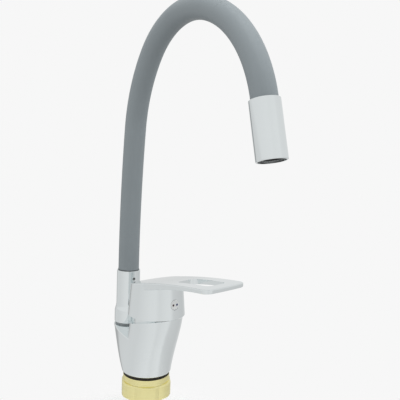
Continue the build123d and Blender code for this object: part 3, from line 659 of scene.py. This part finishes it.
# %% Aerator screen
HEAD_LENGTH = 48.0
AERATOR_RECESS = 1.8
HOUSING_LIP = 1.0
SCREEN_THICKNESS = 0.8
outlet_axis = Vector((0, -sin(outlet_heading), cos(outlet_heading)))
outlet_across = Vector((0, cos(outlet_heading), sin(outlet_heading)))
screen_depth = HEAD_LENGTH - AERATOR_RECESS - HOUSING_LIP - SCREEN_THICKNESS / 2
screen_place = outlet_point + screen_depth * outlet_axis
turn_to_outlet = Matrix((Vector((1, 0, 0)), outlet_across, outlet_axis)).transposed().to_4x4()
assert turn_to_outlet.determinant() > 0
screen = grown("outlet_screen", screen_group, {
    "Radius": SCREEN_R * MM, "Wire radius": WIRE_R * MM, "Step": WIRE_STEP * MM, "Material": dark_steel})
screen.data.transform(Matrix.Translation(screen_place * MM) @ turn_to_outlet)
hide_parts("aerator_mesh")
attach(screen, "outlet")
print("screen: from", box_of(screen)[0], "to", box_of(screen)[1])

# %% [markdown]
# The tap stands on a pale studio floor that shows little more than its soft shadow. A huge floor would
# end in a horizon line that draws the eye, and even in the background's colour it would still look
# shaded. So the floor is a disc whose paper fades out: it is solid near the tap, where the shadow falls,
# and see-through further out, where the plain background takes over without an edge. Its points lie in
# rings round the middle.

# %% Floor disc
FLOOR_Z = SHANK_BOTTOM
FLOOR_R = 700.0
FLOOR_RINGS = 24
FLOOR_COLUMNS = 64
floor_points = [Vector((0, 0, FLOOR_Z))]
for i in range(1, FLOOR_RINGS + 1):
    radius = FLOOR_R * (i / FLOOR_RINGS)
    floor_points += ring(floor_points[0], Vector((0, 1, 0)), i, radius, FLOOR_COLUMNS)
floor_faces = []
for column in range(FLOOR_COLUMNS):
    beside = (column + 1) % FLOOR_COLUMNS
    floor_faces.append((0, 1 + column, 1 + beside))
    for i in range(FLOOR_RINGS - 1):
        here, there = 1 + i * FLOOR_COLUMNS, 1 + (i + 1) * FLOOR_COLUMNS
        floor_faces.append((here + column, there + column, there + beside, here + beside))
floor = mesh_object("floor", floor_points, floor_faces)
print("floor at", FLOOR_Z, "mm")

# %% [markdown]
# The floor's paper is a rough, light grey sheet. It could be pure white, but then light that the chrome
# throws on it would clip to white spots. The distance from the middle, smoothed at both ends, mixes it
# with a see-through shader.

# %% Floor paper
PAPER_GREY = 0.68
PAPER_ROUGHNESS = 0.9
FADE_FROM = 30
FADE_TO = 120
paper = bpy.data.materials.new("pale_floor")
paper.use_nodes = True
tree = paper.node_tree
sheet = fill(tree, tree.nodes["Principled BSDF"], {
    "Base Color": (PAPER_GREY, PAPER_GREY, PAPER_GREY, 1), "Roughness": PAPER_ROUGHNESS}).outputs["BSDF"]
clear = new_node(tree, "ShaderNodeBsdfTransparent", {}).outputs["BSDF"]
place = new_node(tree, "ShaderNodeTexCoord", {}).outputs["Object"]
distance = new_node(tree, "ShaderNodeVectorMath", {0: place}, operation="LENGTH").outputs["Value"]
fade = new_node(tree, "ShaderNodeMapRange", {
    "Value": distance, "From Min": FADE_FROM * MM, "From Max": FADE_TO * MM},
    interpolation_type="SMOOTHSTEP")
faded = new_node(tree, "ShaderNodeMixShader", {0: fade.outputs["Result"], 1: sheet, 2: clear})
fill(tree, tree.nodes["Material Output"], {"Surface": faded.outputs["Shader"]})
floor.data.materials.append(paper)
print("paper fades from", FADE_FROM, "to", FADE_TO, "mm")

# %% [markdown]
# Polished chrome has hardly a colour of its own: it shows the room around it. A photographed room wrapped
# round the scene would bring things that nobody chose. So the studio is drawn as levels of grey by
# compass direction, turned once around the tap: pale walls, with one darker gap that gives the chrome its
# dark edge. The levels are a touch cool, as in the photograph.

# %% Levels of the studio's walls
COOLNESS = 1.01
ROOM = (
    (0.00, 0.79), (0.05, 0.76), (0.10, 0.81), (0.16, 0.80), (0.21, 0.775), (0.32, 0.72), (0.42, 0.72),
    (0.475, 0.68), (0.505, 0.43), (0.545, 0.43), (0.572, 0.72), (0.62, 0.70), (0.72, 0.62), (0.86, 0.67),
    (0.885, 0.69), (0.91, 0.77), (0.93, 0.815), (0.98, 0.80), (1.00, 0.79),
)


def cool_grey(level):
    return (level, level * COOLNESS, level * COOLNESS, 1)


print("wall levels: from", min(level for turn, level in ROOM), "to", max(level for turn, level in ROOM))

# %% [markdown]
# The levels become a world that lights the tap and shows in its chrome. Panels could be hung round the
# tap as real objects, but they would throw shadows and get in the way of other views. A world is
# endlessly far away. It takes the direction of each ray, turns it into a place between 0 and 1 round the
# compass, and looks that place up on a ramp of the levels.

# %% Walls of the studio
scene = bpy.context.scene
scene.view_settings.view_transform = "Standard"
scene.world = bpy.data.worlds.new("studio")
scene.world.use_nodes = True
tree = scene.world.node_tree
tree.nodes.clear()
direction = new_node(tree, "ShaderNodeTexCoord", {}).outputs["Generated"]
ray = new_node(tree, "ShaderNodeSeparateXYZ", {"Vector": direction}).outputs
compass = new_node(tree, "ShaderNodeMath", {0: ray["X"], 1: ray["Y"]}, operation="ARCTAN2").outputs["Value"]
turn = new_node(tree, "ShaderNodeMapRange", {"Value": compass, "From Min": -pi, "From Max": pi})
walls = new_node(tree, "ShaderNodeValToRGB", {"Fac": turn.outputs["Result"]})
levels = walls.color_ramp.elements
while len(levels) > 1:
    levels.remove(levels[0])
levels[0].position = ROOM[0][0]
levels[0].color = cool_grey(ROOM[0][1])
for position, level in ROOM[1:]:
    levels.new(position).color = cool_grey(level)
print("levels on the ramp:", len(levels))

# %% [markdown]
# Surfaces that face up, such as the hood, show the ceiling, which is brighter than the walls in most
# studios. A second ramp could hold it, but one pale colour is enough: it is mixed over the walls as a ray
# points higher. The camera itself should see neither walls nor ceiling, only a plain pale background
# behind the tap, so rays that come straight from the camera get that colour instead.

# %% Ceiling and background
CEILING = 0.84
CEILING_SHARE = 0.70
RISE_FROM = -0.03
RISE_TO = 0.10
BACKGROUND = 0.93
rise = new_node(tree, "ShaderNodeMapRange", {
    "Value": ray["Z"], "From Min": RISE_FROM, "From Max": RISE_TO, "To Max": CEILING_SHARE},
    interpolation_type="SMOOTHSTEP")
room = new_node(tree, "ShaderNodeMix", {
    MIX_FACTOR: rise.outputs["Result"], MIX_A: walls.outputs["Color"], MIX_B: cool_grey(CEILING)},
    data_type="RGBA")
soft = new_node(tree, "ShaderNodeBackground", {"Color": room.outputs[MIX_RESULT], "Strength": 1.0})
plain = new_node(tree, "ShaderNodeBackground", {
    "Color": (BACKGROUND, BACKGROUND, BACKGROUND, 1), "Strength": 1.0})
from_camera = new_node(tree, "ShaderNodeLightPath", {}).outputs["Is Camera Ray"]
seen = new_node(tree, "ShaderNodeMixShader", {
    0: from_camera, 1: soft.outputs["Background"], 2: plain.outputs["Background"]})
new_node(tree, "ShaderNodeOutputWorld", {"Surface": seen.outputs["Shader"]})
print("studio nodes:", len(tree.nodes))

# %% [markdown]
# The room alone lights the tap flatly, and the matt sleeve then looks like a paper cut-out. Sun lamps
# would draw hard shadows, so large rectangles are used, as a photographer uses softboxes: one on each
# side and a wide one above. They are kept out of reflections, because the chrome already shows the walls
# and would show the rectangles as white blocks.

# %% Softboxes
def softbox(name, place, target, width, height, power):
    """A rectangular lamp at a place, turned to a target. Places and sizes are in metres, power in watts."""
    light = bpy.data.lights.new(name, "AREA")
    light.shape = "RECTANGLE"
    light.size = width
    light.size_y = height
    light.energy = power
    lamp = bpy.data.objects.new(name, light)
    lamp.location = place
    lamp.rotation_euler = (Vector(target) - Vector(place)).to_track_quat("-Z", "Y").to_euler()
    lamp.visible_glossy = False
    scene.collection.objects.link(lamp)
    print("softbox:", name, power, "W")


MIDDLE = (0, -0.05, 0.2)
ARCH = (0, -0.1, 0.3)
softbox("right_box", place=(1.0, -0.9, 0.7), target=MIDDLE, width=0.5, height=1.2, power=8)
softbox("left_box", place=(-1.2, -0.1, 0.6), target=MIDDLE, width=0.5, height=1.2, power=6)
softbox("top_box", place=(0.1, -0.3, 1.4), target=ARCH, width=0.9, height=0.9, power=14)

# %% [markdown]
# The camera stands where the photographer's stood: in front of the tap and to its left, about two thirds
# of the way up the arch. It could be aimed by eye, but a likeness shows in edges that fall on the same
# spots. So its place and its three angles were fitted to the outlines in the photograph. The script works
# out the camera's own directions from them, to the right, forward and up, and rolls them by the small
# tilt of the picture.

# %% Camera
CAMERA_AT = Vector((-306.3, -520.23, 242.96)) * MM
AZIMUTH = radians(-35.212)
PITCH = radians(6.099)
ROLL = radians(1.947)
SENSOR_WIDTH = 36.0
LENS = 54.0
CLIP_START = 10
right = Vector((cos(AZIMUTH), sin(AZIMUTH), 0))
forward = Vector((-sin(AZIMUTH) * cos(PITCH), cos(AZIMUTH) * cos(PITCH), -sin(PITCH)))
up = right.cross(forward)
rolled_right = right * cos(ROLL) + up * sin(ROLL)
rolled_up = up * cos(ROLL) - right * sin(ROLL)
camera_data = bpy.data.cameras.new("camera")
camera_data.sensor_width = SENSOR_WIDTH
camera_data.lens = LENS
camera_data.clip_start = CLIP_START * MM
camera = bpy.data.objects.new("camera", camera_data)
scene.collection.objects.link(camera)
aim = Matrix((rolled_right, rolled_up, -forward)).transposed().to_4x4()
camera.matrix_world = Matrix.Translation(CAMERA_AT) @ aim
scene.camera = camera
print("camera:", round(CAMERA_AT.length, 2), "m from the origin")
